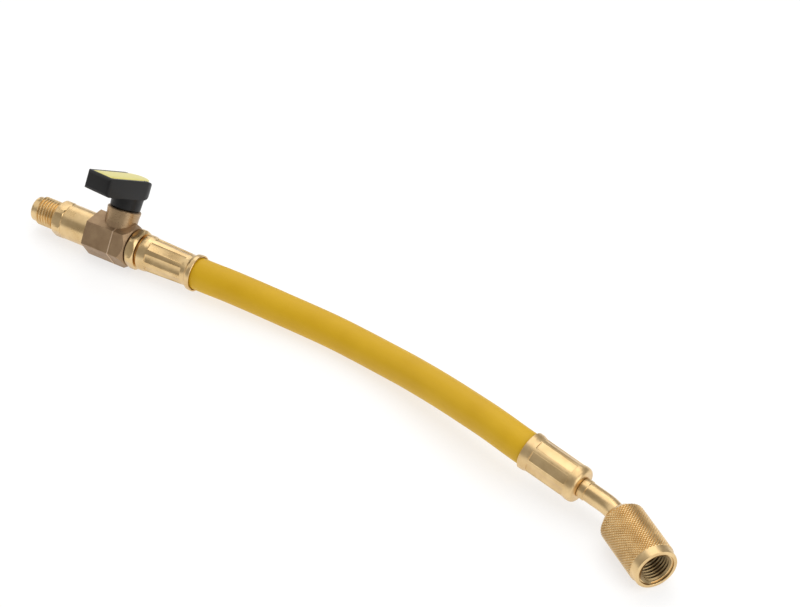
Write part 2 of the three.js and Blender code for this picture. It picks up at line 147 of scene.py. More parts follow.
# Hose tail and ferrules
TAIL_COLLAR_START = 8.7
TAIL_COLLAR_LENGTH = 3.9
TAIL_COLLAR_FLATS = 14.2
TAIL_COLLAR_CORNER = 7.75
TAIL_NECK_RADIUS = 5.4
TAIL_RADIUS = 3.1
TAIL_BORE = 1.8
TAIL_DEPTH = 13.0
TAIL_SEAT_START = 5.9
TAIL_SEAT_RADIUS = 4.5
VALVE_FERRULE_START = 13.4
VALVE_FERRULE_LENGTH = 24.4
ELBOW_FERRULE_LENGTH = 22.7
FERRULE_MOUTH = 7.05
MOUTH_DEPTH = 1.6
CRIMPS = 8
JAW_ROUNDING = 0.35

# Hose
HOSE_DIAMETER = 12.2
HOSE_STEPS = 8
HOSE_ROUNDNESS = 14

# Bent tube and nut
TUBE_RADIUS = 3.45
TUBE_BORE = 1.9
TUBE_ROOT_RADIUS = 3.7
TUBE_ROOT_LENGTH = 3.0
ELBOW_ROOT = 9.3
ELBOW_RADIUS = 13.0
ELBOW_NUT_LENGTH = 2.0
ELBOW_STEPS = 16
FLANGE_RADIUS = 4.9
FLANGE_START = 4.8
FLANGE_END = 6.4
NUT_LENGTH = 26.5
KNURL_RADIUS = 8.2
KNURL_VALLEY = 7.9
NUT_RIM = 7.7
NUT_BACK_RIM = 2.0
NUT_FRONT_RIM = 2.6
NUT_SHOULDER = 0.8
NUT_BACK_WALL = 4.5
NUT_CREST = 5.0
NUT_ROOT = 5.6
NUT_THREAD_START = 10.2
NUT_TURNS = 12
NUT_MOUTH = 6.35
KNURLS_AROUND = 44
KNURLS_ALONG = 18
KNURL_SLOPE = 0.2

GAP = 0.3
SMOOTH_SIDES = 96
ROUND_SIDES = 64

# Brass, from its darker to its lighter clouds
BRASS_DARK = (0.68, 0.475, 0.23)
BRASS_LIGHT = (0.82, 0.605, 0.32)

# The hose's middle line as it lies, from the valve's ferrule to the far one
HOSE_ROUTE = [
    (29.64, 21.3, 7.65), (34.5, 24.8, 7.65), (40.9, 29.9, 7.4), (47.5, 34.9, 7.1),
    (54.1, 39.8, 6.75), (60.8, 44.6, 6.45), (67.5, 49.3, 6.25), (74.3, 53.8, 6.2),
    (81.3, 58.1, 6.2), (88.4, 62.0, 6.3), (95.6, 65.6, 6.6), (103.0, 68.9, 7.2),
    (110.5, 71.9, 8.1), (118.1, 74.5, 9.15), (125.8, 77.0, 10.2), (133.6, 79.4, 11.2),
    (141.4, 81.8, 12.05), (149.1, 84.3, 12.7), (155.8, 86.4, 13.1), (161.0, 88.1, 13.2),
    (165.0, 89.75, 12.93), (169.73, 92.06, 12.32),
]


# Frames of the sub-assemblies, in millimetres
ALONG_X = Matrix.Rotation(math.pi / 2, 4, "Y")
STEM_LEAN = Matrix.Rotation(-STEM_TILT, 4, "X")
VALVE = Matrix.Translation((0, 0, BODY_FLATS / 2)) @ Matrix.Rotation(VALVE_HEADING, 4, "Z")
STEM = VALVE @ STEM_LEAN
HANDLE = STEM @ Matrix.Rotation(-math.pi / 2 - HANDLE_OPENING, 4, "Z")


def far_frames():
    """The frames of the far ferrule's mouth and of the nut's back."""
    heading = math.acos(math.cos(ELBOW_BEND) / math.cos(FAR_END_DIP))
    along = Vector((
        math.cos(FAR_END_DIP) * math.cos(heading),
        math.cos(FAR_END_DIP) * math.sin(heading),
        -math.sin(FAR_END_DIP),
    ))
    axis = Vector((1, 0, 0)).cross(along).normalized()
    side = axis.cross(along)
    turn = Matrix((along, side, axis)).transposed().to_4x4()
    bend_start = ELBOW_FERRULE_LENGTH + ELBOW_ROOT
    nut_way = Vector((math.cos(ELBOW_BEND), -math.sin(ELBOW_BEND), 0))
    nut_back = Vector((
        bend_start + ELBOW_RADIUS * math.sin(ELBOW_BEND),
        -ELBOW_RADIUS * (1 - math.cos(ELBOW_BEND)),
        0,
    )) + nut_way * ELBOW_NUT_LENGTH
    mouth = Vector(HOSE_ROUTE[-1]) + along * (GAP - MOUTH_DEPTH)
    mouth.z = KNURL_RADIUS - (turn @ nut_back).z
    far = Matrix.Translation(mouth) @ turn
    nut = far @ Matrix.Translation(nut_back) @ Matrix.Rotation(-ELBOW_BEND, 4, "Z")
    return far, nut


FAR, NUT = far_frames()


def way_to(azimuth, elevation):
    """The way from the part to where it is seen or lit from. Azimuth 0 is the side of -Y."""
    return Vector((
        math.sin(azimuth) * math.cos(elevation),
        -math.cos(azimuth) * math.cos(elevation),
        math.sin(elevation),
    ))


# Modelling helpers
def deselect():
    if bpy.context.object and bpy.context.object.mode == "EDIT":
        bpy.ops.object.mode_set(mode="OBJECT")
    bpy.ops.object.select_all(action="DESELECT")


def edit(obj):
    deselect()
    obj.select_set(True)
    bpy.context.view_layer.objects.active = obj
    bpy.ops.object.mode_set(mode="EDIT")


def pick(test, kind="VERT"):
    """Selects the vertices, edges or faces of the mesh in edit mode whose middle passes the test."""
    mesh = bpy.context.object.data
    bpy.ops.mesh.select_mode(type=kind)
    bpy.ops.mesh.select_all(action="DESELECT")
    shape = bmesh.from_edit_mesh(mesh)
    for part in {"VERT": shape.verts, "EDGE": shape.edges, "FACE": shape.faces}[kind]:
        if kind == "VERT":
            place = part.co
        elif kind == "EDGE":
            place = (part.verts[0].co + part.verts[1].co) / 2
        else:
            place = part.calc_center_median()
        if test(place, part):
            part.select_set(True)
    shape.select_flush(True)
    bmesh.update_edit_mesh(mesh)


def named(name):
    obj = bpy.context.object
    obj.name = name
    obj.data.name = name
    return obj


def circle(name, radius, height, sides=SMOOTH_SIDES):
    deselect()
    bpy.ops.mesh.primitive_circle_add(vertices=sides, radius=radius, location=(0, 0, 0))
    obj = named(name)
    edit(obj)
    bpy.ops.mesh.select_mode(type="VERT")
    bpy.ops.mesh.select_all(action="SELECT")
    bpy.ops.transform.translate(value=(0, 0, height))
    return obj


def next_ring(height, radius, from_height, from_radius):
    """Extrudes the selected ring to another height and radius."""
    bpy.ops.mesh.extrude_region_move(TRANSFORM_OT_translate={"value": (0, 0, height - from_height)})
    scale = radius / from_radius
    bpy.ops.transform.resize(value=(scale, scale, 1), center_override=(0, 0, height))


def turned(name, profile, closed=False, sides=SMOOTH_SIDES):
    """A turned shape about Z from (height, radius) pairs, its ends flat or joined to each other."""
    (height, radius), *rest = profile
    obj = circle(name, radius, height, sides)
    if not closed:
        bpy.ops.mesh.edge_face_add()
        bpy.ops.mesh.select_all(action="SELECT")
    for next_height, next_radius in rest:
        next_ring(next_height, next_radius, height, radius)
        height, radius = next_height, next_radius
    if closed:
        bpy.ops.mesh.select_all(action="DESELECT")
        bpy.ops.mesh.select_mode(type="EDGE")
        bpy.ops.mesh.select_non_manifold()
        bpy.ops.mesh.bridge_edge_loops()
    bpy.ops.mesh.select_all(action="SELECT")
    bpy.ops.mesh.normals_make_consistent(inside=False)
    bpy.ops.object.mode_set(mode="OBJECT")
    return obj


def hex_bar(name, start, end, flats):
    """A hexagonal bar along Z with two flats facing along X."""
    deselect()
    bpy.ops.mesh.primitive_cylinder_add(
        vertices=6, radius=flats / math.sqrt(3), depth=end - start, location=(0, 0, 0))
    obj = named(name)
    edit(obj)
    bpy.ops.mesh.select_all(action="SELECT")
    bpy.ops.transform.translate(value=(0, 0, (start + end) / 2))
    bpy.ops.object.mode_set(mode="OBJECT")
    return obj


def set_place(obj, matrix):
    """Puts the object in place with its place in its mesh."""
    deselect()
    obj.matrix_world = matrix
    obj.select_set(True)
    bpy.context.view_layer.objects.active = obj
    bpy.ops.object.transform_apply(location=True, rotation=True, scale=True)


def combine(obj, other, operation):
    """Joins, cuts or intersects two closed shapes, and keeps the first."""
    deselect()
    bpy.context.view_layer.objects.active = obj
    change = obj.modifiers.new("change", "BOOLEAN")
    change.operation = operation
    change.solver = "EXACT"
    change.object = other
    bpy.ops.object.modifier_apply(modifier=change.name)
    bpy.data.objects.remove(other)


def block(name, size, middle=(0, 0, 0)):
    """A box of the given size about its middle."""
    deselect()
    bpy.ops.mesh.primitive_cube_add(size=1, location=(0, 0, 0))
    box = named(name)
    box.scale = size
    box.location = middle
    set_place(box, box.matrix_basis)
    return box


def drill(obj, name, profile, place=None, sides=ROUND_SIDES):
    """Cuts a turned hollow out of a shape."""
    hollow = turned(name, profile, sides=sides)
    if place is not None:
        set_place(hollow, place)
    combine(obj, hollow, "DIFFERENCE")


def soften(obj, width, segments=2, angle=30, finish=-1):
    """Rounds the sharp edges of a shape, and can give them their own finish."""
    deselect()
    bpy.context.view_layer.objects.active = obj
    bevel = obj.modifiers.new("soften", "BEVEL")
    bevel.width = width
    bevel.segments = segments
    bevel.material = finish
    bevel.limit_method = "ANGLE"
    bevel.angle_limit = math.radians(angle)
    bevel.harden_normals = False
    bpy.ops.object.modifier_apply(modifier=bevel.name)


def joined(name, *parts):
    deselect()
    for part in parts:
        part.select_set(True)
    bpy.context.view_layer.objects.active = parts[0]
    bpy.ops.object.join()
    return named(name)


def thread_coil(name, inner, outer, crest_outside, start, turns):
    """A helical thread ridge about Z, of V section, with its wide side buried in its wall."""
    deselect()
    bpy.ops.mesh.primitive_plane_add(size=1, location=(0, 0, 0))
    obj = named(name)
    edit(obj)
    bpy.ops.mesh.select_all(action="SELECT")
    bpy.ops.transform.rotate(value=math.pi / 2, orient_axis="X", center_override=(0, 0, 0))
    bpy.ops.transform.resize(value=(outer - inner, 1, THREAD_PITCH * THREAD_FOOT),
                             center_override=(0, 0, 0))
    bpy.ops.transform.translate(value=((inner + outer) / 2, 0, start + THREAD_PITCH / 2))
    middle = (inner + outer) / 2
    pick(lambda place, part: (place.x > middle) == crest_outside)
    bpy.ops.transform.resize(value=(1, 1, THREAD_CREST),
                             center_override=(0, 0, start + THREAD_PITCH / 2))
    bpy.ops.mesh.select_mode(type="FACE")
    bpy.ops.mesh.select_all(action="SELECT")
    bpy.ops.mesh.delete(type="ONLY_FACE")
    bpy.ops.object.mode_set(mode="OBJECT")
    screw = obj.modifiers.new("helix", "SCREW")
    screw.axis = "Z"
    screw.screw_offset = THREAD_PITCH
    screw.iterations = turns
    screw.steps = THREAD_STEPS
    screw.render_steps = THREAD_STEPS
    bpy.ops.object.modifier_apply(modifier=screw.name)
    edit(obj)
    bpy.ops.mesh.select_all(action="SELECT")
    bpy.ops.mesh.fill_holes(sides=4)
    bpy.ops.mesh.normals_make_consistent(inside=False)
    bpy.ops.object.mode_set(mode="OBJECT")
    return obj


def finish_piece(obj, place, body, slot, material, *nodes, smooth=32):
    """Places a piece, gives it its finish, and lets it ride and stand for CAD nodes."""
    set_place(obj, Matrix.Scale(MM, 4) @ place)
    bpy.ops.object.shade_smooth_by_angle(angle=math.radians(smooth))
    if not obj.data.materials:
        obj.data.materials.append(material)
    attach(obj, body)
    if nodes:
        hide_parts(*nodes)
    return obj


# Shader node groups
def new_group(name, inputs, outputs):
    group = bpy.data.node_groups.new(name, "ShaderNodeTree")
    for label, kind, value in inputs:
        socket = group.interface.new_socket(name=label, in_out="INPUT", socket_type=kind)
        if value is not None:
            socket.default_value = value
    for label, kind in outputs:
        group.interface.new_socket(name=label, in_out="OUTPUT", socket_type=kind)
    return group, group.nodes.new("NodeGroupInput"), group.nodes.new("NodeGroupOutput")


def math_node(nodes, links, operation, first, second):
    node = nodes.new("ShaderNodeMath")
    node.operation = operation
    for socket, value in zip(node.inputs, (first, second)):
        if isinstance(value, (int, float)):
            socket.default_value = value
        else:
            links.new(value, socket)
    return node.outputs[0]


def grain_group():
    """Fine grain and larger clouds, both from 0 to 1, at two scales in the given place."""
    group, taken, given = new_group(
        "grain",
        [("Place", "NodeSocketVector", None), ("Grain Scale", "NodeSocketFloat", 4000.0),
         ("Cloud Scale", "NodeSocketFloat", 150.0)],
        [("Grain", "NodeSocketFloat"), ("Clouds", "NodeSocketFloat")],
    )
    for scale, out, detail in (("Grain Scale", "Grain", 3.0), ("Cloud Scale", "Clouds", 4.0)):
        noise = group.nodes.new("ShaderNodeTexNoise")
        noise.inputs["Detail"].default_value = detail
        group.links.new(taken.outputs["Place"], noise.inputs["Vector"])
        group.links.new(taken.outputs[scale], noise.inputs["Scale"])
        group.links.new(noise.outputs["Fac"], given.inputs[out])
    return group


def turning_group():
    """Rings about X, as a lathe tool leaves them, from 0 to 1."""
    group, taken, given = new_group(
        "turning_marks",
        [("Place", "NodeSocketVector", None), ("Scale", "NodeSocketFloat", 6000.0)],
        [("Rings", "NodeSocketFloat")],
    )
    squash = group.nodes.new("ShaderNodeVectorMath")
    squash.operation = "MULTIPLY"
    squash.inputs[1].default_value = (1.0, 0.03, 0.03)
    noise = group.nodes.new("ShaderNodeTexNoise")
    noise.inputs["Detail"].default_value = 2.0
    group.links.new(taken.outputs["Place"], squash.inputs[0])
    group.links.new(squash.outputs[0], noise.inputs["Vector"])
    group.links.new(taken.outputs["Scale"], noise.inputs["Scale"])
    group.links.new(noise.outputs["Fac"], given.inputs["Rings"])
    return group


GRAIN = grain_group()
TURNING = turning_group()


class Finish:
    """A material under construction: a Principled BSDF with the piece's own coordinates."""

    def __init__(self, name, place=None):
        self.material = bpy.data.materials.new(name)
        self.material.use_nodes = True
        self.nodes = self.material.node_tree.nodes
        self.links = self.material.node_tree.links
        self.shader = self.nodes["Principled BSDF"]
        self.place = self.nodes.new("ShaderNodeTexCoord").outputs["Object"]
        if place is not None:
            mapping = self.nodes.new("ShaderNodeMapping")
            mapping.vector_type = "TEXTURE"
            mapping.inputs["Location"].default_value = place.to_translation() * MM
            mapping.inputs["Rotation"].default_value = place.to_euler()
            self.links.new(self.place, mapping.inputs["Vector"])
            self.place = mapping.outputs["Vector"]

    def set(self, **values):
        for label, value in values.items():
            self.shader.inputs[label.replace("_", " ")].default_value = value

    def group(self, tree, **values):
        node = self.nodes.new("ShaderNodeGroup")
        node.node_tree = tree
        self.links.new(self.place, node.inputs["Place"])
        for label, value in values.items():
            node.inputs[label.replace("_", " ")].default_value = value
        return node

    def ramp(self, value, low, high, low_colour, high_colour):
        node = self.nodes.new("ShaderNodeValToRGB")
        node.color_ramp.elements[0].position = low
        node.color_ramp.elements[1].position = high
        node.color_ramp.elements[0].color = (*low_colour, 1)
        node.color_ramp.elements[1].color = (*high_colour, 1)
        self.links.new(value, node.inputs["Fac"])
        return node.outputs["Color"]

    def mapped(self, value, low, high):
        node = self.nodes.new("ShaderNodeMapRange")
        node.inputs["From Min"].default_value = 0.25
        node.inputs["From Max"].default_value = 0.75
        node.inputs["To Min"].default_value = low
        node.inputs["To Max"].default_value = high
        self.links.new(value, node.inputs["Value"])
        return node.outputs["Result"]

    def bump(self, height, strength, distance):
        node = self.nodes.new("ShaderNodeBump")
        node.inputs["Strength"].default_value = strength
        node.inputs["Distance"].default_value = distance
        self.links.new(height, node.inputs["Height"])
        self.links.new(node.outputs["Normal"], self.shader.inputs["Normal"])

    def add(self, first, second, share):
        scaled = math_node(self.nodes, self.links, "MULTIPLY", second, share)
        return math_node(self.nodes, self.links, "ADD", first, scaled)


def polished_brass(name, place, rough, shade=1.0):
    finish = Finish(name, place)
    finish.set(Metallic=1.0)
    grain = finish.group(GRAIN, Grain_Scale=2600.0, Cloud_Scale=190.0)
    rings = finish.group(TURNING, Scale=5200.0)
    # A shade below 1 darkens both brass tones: painted shade
    tint = finish.ramp(grain.outputs["Clouds"], 0.35, 0.68,
                       [part * shade for part in BRASS_DARK],
                       [part * shade for part in BRASS_LIGHT])
    finish.links.new(tint, finish.shader.inputs["Base Color"])
    finish.links.new(finish.mapped(grain.outputs["Clouds"], rough, rough + 0.12),
                     finish.shader.inputs["Roughness"])
    height = finish.add(rings.outputs["Rings"], grain.outputs["Grain"], 0.35)
    finish.bump(height, 0.16, 0.00006)
    return finish.material


def forged_brass(name, dark, light, rough):
    finish = Finish(name, VALVE)
    finish.set(Metallic=0.85)
    grain = finish.group(GRAIN, Grain_Scale=2400.0, Cloud_Scale=260.0)
    tint = finish.ramp(grain.outputs["Clouds"], 0.3, 0.72, dark, light)
    finish.links.new(tint, finish.shader.inputs["Base Color"])
    finish.links.new(finish.mapped(grain.outputs["Grain"], rough, rough + 0.16),
                     finish.shader.inputs["Roughness"])
    height = finish.add(grain.outputs["Grain"], grain.outputs["Clouds"], 0.8)
    finish.bump(height, 0.3, 0.00012)
    return finish.material


def moulded_plastic(name, dark, light, rough, place, shine=0.5):
    finish = Finish(name, place)
    finish.set(Specular_IOR_Level=shine)
    grain = finish.group(GRAIN, Grain_Scale=3200.0, Cloud_Scale=120.0)
    tint = finish.ramp(grain.outputs["Clouds"], 0.3, 0.7, dark, light)
    finish.links.new(tint, finish.shader.inputs["Base Color"])
    finish.links.new(finish.mapped(grain.outputs["Clouds"], rough, rough + 0.12),
                     finish.shader.inputs["Roughness"])
    finish.bump(grain.outputs["Grain"], 0.18, 0.00008)
    return finish.material


def hose_rubber():
    finish = Finish("hose_rubber")
    grain = finish.group(GRAIN, Grain_Scale=1500.0, Cloud_Scale=60.0)
    finish.set(Specular_IOR_Level=0.22)
    tint = finish.ramp(grain.outputs["Clouds"], 0.3, 0.7, (0.68, 0.40, 0.012), (0.74, 0.45, 0.018))
    finish.links.new(tint, finish.shader.inputs["Base Color"])
    finish.links.new(finish.mapped(grain.outputs["Clouds"], 0.40, 0.50),
                     finish.shader.inputs["Roughness"])
    finish.bump(grain.outputs["Grain"], 0.10, 0.0001)
    return finish.material


# Materials
VALVE_BRASS = polished_brass("valve_brass", VALVE, 0.24)
FAR_BRASS = polished_brass("elbow_brass", FAR, 0.29)
NUT_BRASS = polished_brass("nut_brass", NUT, 0.26)
# Darkened copy of the nut's brass for the inside of its threaded bore: painted shade
THREAD_PAINTED_SHADE_BRASS = polished_brass("nut_thread_painted_shade_brass", NUT, 0.30, 0.42)
BODY_BRASS = forged_brass("body_brass", (0.34, 0.22, 0.125), (0.43, 0.295, 0.17), 0.40)
WORN_BRASS = forged_brass("worn_brass", (0.66, 0.49, 0.33), (0.80, 0.62, 0.43), 0.36)
BOSS_BRASS = forged_brass("boss_brass", (0.38, 0.255, 0.14), (0.50, 0.35, 0.20), 0.24)
HANDLE_BLACK = moulded_plastic("handle_black", (0.009, 0.009, 0.0095), (0.014, 0.0135, 0.0135),
                               0.36, HANDLE, 0.28)
INSERT_YELLOW = moulded_plastic("insert_yellow", (0.74, 0.66, 0.17), (0.80, 0.72, 0.22),
                                0.30, HANDLE)
SEAL_WHITE = moulded_plastic("seal_white", (0.78, 0.77, 0.72), (0.85, 0.84, 0.80), 0.35, NUT)
BALL_CHROME = polished_brass("ball_chrome", HANDLE, 0.12)
HOSE_YELLOW = hose_rubber()


# Pieces
def male_adaptor():
    wrench_end = MALE_SHOULDER - MALE_SHANK
    wrench_start = wrench_end - WRENCH_LENGTH
    thread_start = wrench_start - MALE_TURNS * THREAD_PITCH - GAP
    tip = thread_start - NOSE_LENGTH
    spigot = CHAMBER_RADIUS - GAP
    core = turned("adaptor_core", [
        (tip, NOSE_BORE), (tip, 4.2), (tip + 0.2, 4.5), (tip + 0.55, NOSE_RADIUS),
        (thread_start - 0.5, NOSE_RADIUS), (thread_start - 0.2, MALE_ROOT),
        (wrench_end - 0.5, MALE_ROOT), (wrench_end - 0.4, 6.5), (wrench_end, MALE_SHANK_RADIUS - 0.12),
        (wrench_end + 0.15, MALE_SHANK_RADIUS), (MALE_SHOULDER - 0.3, MALE_SHANK_RADIUS),
        (MALE_SHOULDER, MALE_SHANK_RADIUS - 0.3), (MALE_SHOULDER, spigot), (-CHAMBER_END, spigot),
        (-CHAMBER_END, PORT_RADIUS), (tip + 0.8, PORT_RADIUS),
    ], closed=True)
    wrench = hex_bar("adaptor_wrench", wrench_start, wrench_end, WRENCH_FLATS)
    crown = turned("wrench_crown", [
        (wrench_start, WRENCH_FLATS / 2 - 0.3), (wrench_start + 0.8, WRENCH_CORNER),
        (wrench_end - 0.5, WRENCH_CORNER), (wrench_end, WRENCH_FLATS / 2 + 0.1),
    ])
    combine(wrench, crown, "INTERSECT")
    drill(wrench, "wrench_hollow", [
        (wrench_start - 1, MALE_ROOT - 0.2), (wrench_end + 1, MALE_ROOT - 0.2)], sides=SMOOTH_SIDES)
    soften(wrench, HEX_ROUNDING)
    coil = thread_coil("adaptor_thread", MALE_ROOT - 0.15, MALE_CREST, True,
                       thread_start - 0.2, MALE_TURNS)
    piece = joined("male_adaptor_brass", core, wrench, coil)
    return finish_piece(piece, VALVE @ ALONG_X, "hose_body", "polished_brass", VALVE_BRASS,
                        "male_adaptor")


def valve_body():
    body = hex_bar("valve_forging", -BODY_MALE_SIDE, BODY_HOSE_SIDE, BODY_FLATS)
    crown = turned("body_crown", [
        (-BODY_MALE_SIDE, BODY_FLATS / 2 + 0.4), (-BODY_MALE_SIDE + 0.7, BODY_FLATS),
        (BODY_HOSE_SIDE - BODY_END_CHAMFER, BODY_FLATS / math.sqrt(3) + 0.07),
        (BODY_HOSE_SIDE, BODY_FLATS / 2 - 0.3),
    ])
    combine(body, crown, "INTERSECT")
    set_place(body, ALONG_X)
    boss = turned("stem_boss", [
        (0, BOSS_RADIUS), (BODY_FLATS / 2, BOSS_RADIUS), (BOSS_HEIGHT - 2.4, BOSS_RADIUS + 0.1),
        (BOSS_HEIGHT - 0.9, BOSS_TOP_RADIUS), (BOSS_HEIGHT - 0.3, BOSS_TOP_RADIUS),
        (BOSS_HEIGHT, BOSS_TOP_RADIUS - 0.3),
    ])
    set_place(boss, STEM_LEAN)
    combine(body, boss, "UNION")
    body.data.materials.append(BODY_BRASS)
    body.data.materials.append(WORN_BRASS)
    soften(body, BODY_ROUNDING, finish=1)
    drill(body, "chamber", [(-BODY_MALE_SIDE - 1, CHAMBER_RADIUS), (CHAMBER_END, CHAMBER_RADIUS)],
          ALONG_X)
    drill(body, "tail_port", [
        (CHAMBER_END - 1, PORT_RADIUS), (TAIL_SEAT_START, PORT_RADIUS),
        (TAIL_SEAT_START, TAIL_SEAT_RADIUS), (BODY_HOSE_SIDE + 1, TAIL_SEAT_RADIUS),
    ], ALONG_X)
    drill(body, "stem_hole", [(0, STEM_HOLE), (BOSS_HEIGHT + 1, STEM_HOLE)], STEM_LEAN)
    body = joined("valve_forging", body, forging_seam())
    finish_boss(body)
    return finish_piece(body, VALVE, "hose_body", "forged_brass", BODY_BRASS, "valve_body")


def forging_seam():
    """The parting line: a thin raised ring, cut back on the flat that the part lies on."""
    seam = hex_bar("forging_seam", SEAM_PLACE - SEAM_WIDTH / 2, SEAM_PLACE + SEAM_WIDTH / 2,
                   BODY_FLATS + 2 * SEAM_RISE)
    edit(seam)
    bpy.ops.mesh.select_all(action="SELECT")
    bpy.ops.mesh.bisect(plane_co=(BODY_FLATS / 2 - SEAM_CUT_BACK, 0, 0), plane_no=(1, 0, 0),
                        use_fill=True, clear_outer=True)
    bpy.ops.object.mode_set(mode="OBJECT")
    inside = CHAMBER_RADIUS + SEAM_BURIED
    drill(seam, "seam_hollow", [(-CHAMBER_END, inside), (CHAMBER_END, inside)])
    set_place(seam, ALONG_X)
    under_boss = BOSS_RADIUS - SEAM_BURIED
    drill(seam, "seam_boss_gap", [(0, under_boss), (BOSS_HEIGHT, under_boss)], STEM_LEAN)
    seam.data.materials.append(BODY_BRASS)
    seam.data.materials.append(WORN_BRASS)
    for face in seam.data.polygons:
        face.material_index = 1
    return seam


def finish_boss(body):
    """Gives the faces round the stem's boss their own finish."""
    body.data.materials.append(BOSS_BRASS)
    upright = Matrix.Rotation(STEM_TILT, 4, "X")
    for face in body.data.polygons:
        place = upright @ face.center
        beside_stem = BOSS_RADIUS - 0.1 < math.hypot(place.x, place.y) < BOSS_TOP_RADIUS + 0.3
        faces_out = abs((upright @ face.normal).z) < 0.4
        if beside_stem and faces_out and place.z > BODY_FLATS / 2 - 1:
            face.material_index = 2


def hose_tail():
    start = TAIL_COLLAR_START
    end = start + TAIL_COLLAR_LENGTH
    collar = hex_bar("tail_collar", start, end, TAIL_COLLAR_FLATS)
    crown = turned("collar_crown", [
        (start, TAIL_COLLAR_FLATS / 2 - 0.2), (start + 0.9, TAIL_COLLAR_CORNER),
        (end - 0.9, TAIL_COLLAR_CORNER), (end, TAIL_COLLAR_FLATS / 2 - 0.2),
    ])
    combine(collar, crown, "INTERSECT")
    soften(collar, HEX_ROUNDING)
    tip = TAIL_SEAT_START + GAP
    spigot = TAIL_SEAT_RADIUS - GAP
    shaft = turned("tail_shaft", [
        (tip, TAIL_BORE), (tip, spigot), (start + 0.5, spigot), (start + 0.5, TAIL_NECK_RADIUS),
        (VALVE_FERRULE_START - GAP, TAIL_NECK_RADIUS), (VALVE_FERRULE_START - GAP, TAIL_RADIUS),
        (VALVE_FERRULE_START + TAIL_DEPTH, TAIL_RADIUS), (VALVE_FERRULE_START + TAIL_DEPTH, TAIL_BORE),
    ], closed=True)
    drill(collar, "collar_hollow", [(start - 1, spigot - 0.2), (end + 1, spigot - 0.2)],
          sides=SMOOTH_SIDES)
    piece = joined("hose_tail_brass", collar, shaft)
    return finish_piece(piece, VALVE @ ALONG_X, "hose_body", "polished_brass", VALVE_BRASS,
                        "hose_tail")


def crimp(sleeve, start, end, start_radius, end_radius, depth, width):
    """Presses flats into a sleeve, one for each crimping jaw."""
    slope = math.atan2(end_radius - start_radius, end - start)
    length = math.hypot(end - start, end_radius - start_radius)
    middle = (start_radius + end_radius) / 2 - depth
    jaws = []
    for i in range(CRIMPS):
        jaw = block(f"jaw_{i}", (2, width, length))
        soften(jaw, JAW_ROUNDING, 3)
        set_place(jaw, Matrix.Rotation((i + 0.5) * math.tau / CRIMPS, 4, "Z")
                  @ Matrix.Translation((middle + 1, 0, (start + end) / 2))
                  @ Matrix.Rotation(slope, 4, "Y"))
        jaws.append(jaw)
    combine(sleeve, joined("jaws", *jaws), "DIFFERENCE")


def valve_ferrule():
    mouth = VALVE_FERRULE_LENGTH
    hose_hole = HOSE_DIAMETER / 2 + GAP
    sleeve = turned("valve_ferrule_sleeve", [
        (0, TAIL_RADIUS + GAP), (0, 6.35), (0.15, 6.7), (0.5, 6.95), (2.2, 6.95), (2.7, 6.85),
        (3.4, 6.6), (21.2, 6.0), (21.7, 6.15), (22.2, 6.75), (22.5, 6.95), (23.2, FERRULE_MOUTH),
        (mouth - 0.15, FERRULE_MOUTH), (mouth, FERRULE_MOUTH - 0.15), (mouth, hose_hole + 0.15),
        (mouth - 0.15, hose_hole), (mouth - MOUTH_DEPTH, hose_hole), (mouth - MOUTH_DEPTH, 2.8),
        (TAIL_DEPTH + GAP, 2.8), (TAIL_DEPTH + GAP, TAIL_RADIUS + GAP),
    ], closed=True)
    crimp(sleeve, start=4.0, end=19.8, start_radius=6.6, end_radius=6.0, depth=0.45, width=3.4)
    place = VALVE @ Matrix.Translation((VALVE_FERRULE_START, 0, 0)) @ ALONG_X
    return finish_piece(sleeve, place, "hose_body", "polished_brass", VALVE_BRASS, "valve_ferrule")


def elbow_ferrule():
    end = ELBOW_FERRULE_LENGTH
    hose_hole = HOSE_DIAMETER / 2 + GAP
    sleeve = turned("elbow_ferrule_sleeve", [
        (0, hose_hole + 0.15), (0, FERRULE_MOUTH - 0.25), (0.15, FERRULE_MOUTH - 0.1),
        (1.4, FERRULE_MOUTH - 0.12), (2.1, 6.8), (3.0, 6.5), (19.0, 6.45), (19.8, 6.6),
        (20.4, 6.65), (21.4, 6.6), (22.1, 6.35), (22.5, 5.95), (end, 5.5),
        (end, TAIL_RADIUS + GAP), (end - TAIL_DEPTH - GAP, TAIL_RADIUS + GAP),
        (end - TAIL_DEPTH - GAP, 2.8), (MOUTH_DEPTH, 2.8), (MOUTH_DEPTH, hose_hole),
        (0.15, hose_hole),
    ], closed=True)
    crimp(sleeve, start=3.6, end=19.0, start_radius=6.45, end_radius=6.45, depth=0.36, width=3.9)
    return finish_piece(sleeve, FAR @ ALONG_X, "hose_body", "polished_brass", FAR_BRASS,
                        "elbow_ferrule")


def bent_bar(name, start, nut_end, radius, sides):
    """A round bar along the bent tube's middle line, bent in edit mode."""
    bend_start = ELBOW_FERRULE_LENGTH + ELBOW_ROOT
    bar = circle(name, radius, start, sides)
    bpy.ops.mesh.edge_face_add()
    bpy.ops.mesh.select_all(action="SELECT")
    bpy.ops.mesh.extrude_region_move(TRANSFORM_OT_translate={"value": (0, 0, bend_start - start)})
    bpy.ops.mesh.spin(steps=ELBOW_STEPS, angle=-ELBOW_BEND,
                      center=(0, -ELBOW_RADIUS, bend_start), axis=(1, 0, 0))
    way = Vector((0, -math.sin(ELBOW_BEND), math.cos(ELBOW_BEND))) * (ELBOW_NUT_LENGTH + nut_end)
    bpy.ops.mesh.extrude_region_move(TRANSFORM_OT_translate={"value": way})
    bpy.ops.mesh.select_all(action="SELECT")
    bpy.ops.mesh.remove_doubles(threshold=0.0001)
    bpy.ops.mesh.normals_make_consistent(inside=False)
    bpy.ops.object.mode_set(mode="OBJECT")
    return bar


